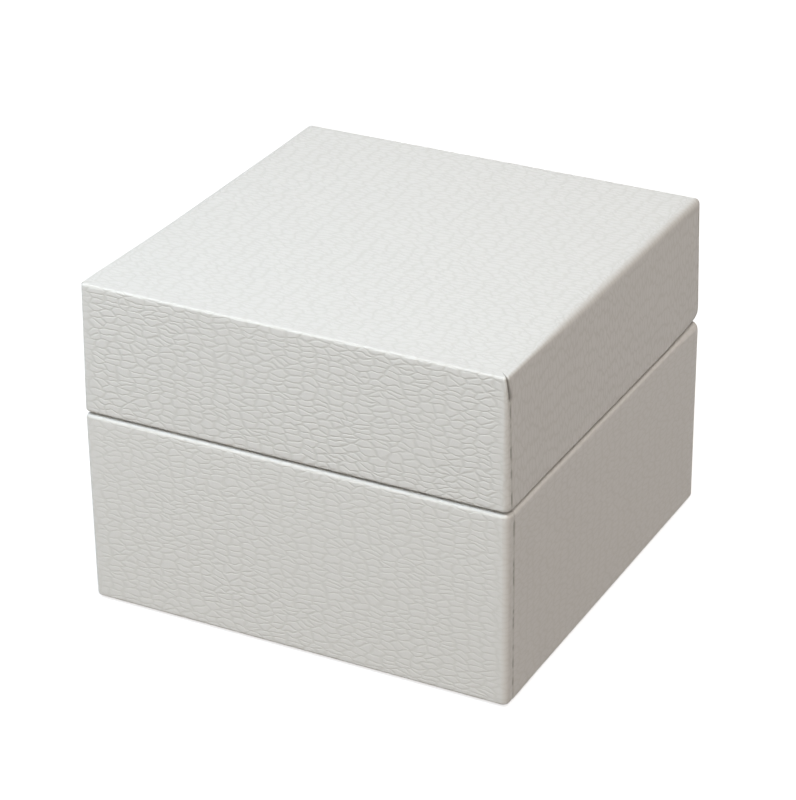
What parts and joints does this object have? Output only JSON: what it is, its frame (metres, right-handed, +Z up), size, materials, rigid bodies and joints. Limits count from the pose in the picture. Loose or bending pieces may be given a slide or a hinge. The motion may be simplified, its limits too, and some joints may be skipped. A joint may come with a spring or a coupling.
{
  "type": "jewelry gift box",
  "caption": "Square hinged jewelry gift box in embossed white paper, with a velvet lift-out pad, a closure collar and a padded satin lid.",
  "frame": {"origin": "middle of the underside, on the surface the box stands on", "axes": "+X to the right along the front, +Y from the front to the hinge, +Z up"},
  "size_m": [0.09, 0.09, 0.0683],
  "materials": {
    "leatherette_paper": "satin, pebble-embossed",
    "moulded_shell": "matte",
    "plain_paper": "matte",
    "velvet_card": "flocked velvet",
    "velvet": "velvet",
    "satin": "satin weave",
    "satin_ribbon": "satin weave",
    "grey_card": "matte",
    "foam": "closed-cell foam",
    "hinge_steel": "bright plated"
  },
  "bodies": {
    "base": {"base_shell": "moulded_shell", "base_wrap": "leatherette_paper", "foot_sheet": "plain_paper", "closure_collar": "velvet_card", "back_lining": "velvet_card", "foam_riser": "foam", "hinge_leaf_base": "hinge_steel", "hinge_pin": "hinge_steel", "hinge_spring": "hinge_steel", "rivet_base_left": "hinge_steel", "rivet_base_right": "hinge_steel"},
    "lid": {"lid_shell": "moulded_shell", "lid_wrap": "leatherette_paper", "lid_side_lining": "velvet_card", "lid_pad_board": "grey_card", "lid_pad": "satin", "hinge_leaf_lid": "hinge_steel", "rivet_lid_left": "hinge_steel", "rivet_lid_right": "hinge_steel"},
    "insert": {"insert_board": "grey_card", "pad_front_roll": "velvet", "pad_back_roll": "velvet", "pull_ribbon": "satin_ribbon"}
  },
  "joints": [
    {"name": "lid_hinge", "type": "hinge", "parent": "base", "child": "lid", "pos_m": [0, 0.0442, 0.04115], "axis": [-1, 0, 0], "range_deg": [0, 100], "deforming": ["hinge_spring"]},
    {"name": "insert_lift", "type": "slide", "parent": "base", "child": "insert", "axis": [0, 0, 1], "range_m": [0, 0.02]}
  ]
}
